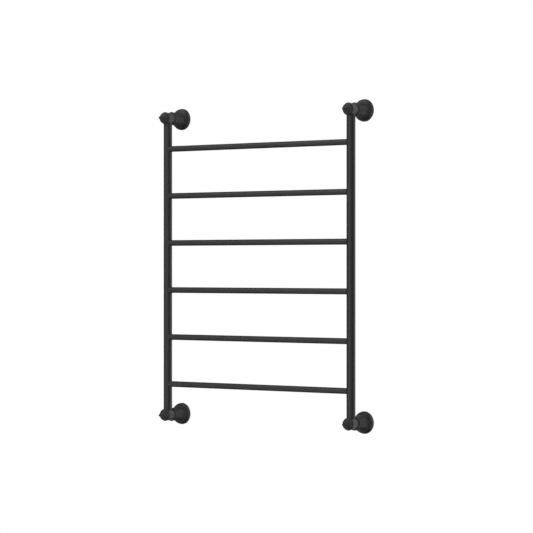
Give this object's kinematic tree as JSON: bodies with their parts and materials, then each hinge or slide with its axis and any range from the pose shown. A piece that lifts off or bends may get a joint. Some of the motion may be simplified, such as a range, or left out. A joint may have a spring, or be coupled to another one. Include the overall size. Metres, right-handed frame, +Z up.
{
  "type": "towel warmer rack",
  "caption": "Wall-mounted heated towel ladder: round cross bars between two upright rails, on turned stand-off brackets with bell-shaped covers and pointed finials.",
  "frame": {"origin": "on the wall plane, midway between the four brackets' axes", "axes": "+Z up, +X to the right as seen from the room, +Y into the wall; the room is towards -Y"},
  "size_m": [0.6338, 0.0954, 0.8258],
  "materials": {
    "rail_finish": "satin black powder coat",
    "bar_finish": "satin black powder coat",
    "hub_finish": "satin black powder coat",
    "finial_finish": "satin black powder coat",
    "bell_finish": "satin black powder coat",
    "stem_steel": "black oxide",
    "plate_zinc": "zinc plated",
    "stud_steel": "bright steel",
    "screw_steel": "black oxide",
    "ring_rubber": "matte",
    "grommet_rubber": "matte",
    "seal_rubber": "matte moulded silicone",
    "cable_silicone": "silicone jacket",
    "splice_sleeve": "heat-shrink sleeve",
    "cutout_case": "glass-filled sleeve"
  },
  "bodies": {
    "wall_plates": {"top_left_wall_plate": "plate_zinc", "top_right_wall_plate": "plate_zinc", "bottom_left_wall_plate": "plate_zinc", "bottom_right_wall_plate": "plate_zinc", "lead_grommet": "grommet_rubber"},
    "rack": {"left_rail": "rail_finish", "right_rail": "rail_finish", "bar_1": "bar_finish", "bar_2": "bar_finish", "bar_3": "bar_finish", "bar_4": "bar_finish", "bar_5": "bar_finish", "bar_6": "bar_finish", "top_left_hub": "hub_finish", "top_left_finial": "finial_finish", "top_left_stem": "stem_steel", "top_left_neck_ring": "ring_rubber", "top_left_bell_cover": "bell_finish", "top_right_hub": "hub_finish", "top_right_finial": "finial_finish", "top_right_stem": "stem_steel", "top_right_neck_ring": "ring_rubber", "top_right_bell_cover": "bell_finish", "bottom_left_hub": "hub_finish", "bottom_left_finial": "finial_finish", "bottom_left_stem": "stem_steel", "bottom_left_neck_ring": "ring_rubber", "bottom_left_bell_cover": "bell_finish", "bottom_right_hub": "hub_finish", "bottom_right_finial": "finial_finish", "bottom_right_stem": "stem_steel", "bottom_right_neck_ring": "ring_rubber", "bottom_right_bell_cover": "bell_finish", "finial_studs": "stud_steel", "lock_screws": "screw_steel", "heating_cable": "cable_silicone", "lead_splice": "splice_sleeve", "thermal_cutout": "cutout_case", "cable_end_seal": "seal_rubber"}
  },
  "joints": [
    {"name": "lift_off", "type": "slide", "parent": "wall_plates", "child": "rack", "axis": [0, -1, 0], "range_m": [0, 0.024]}
  ]
}
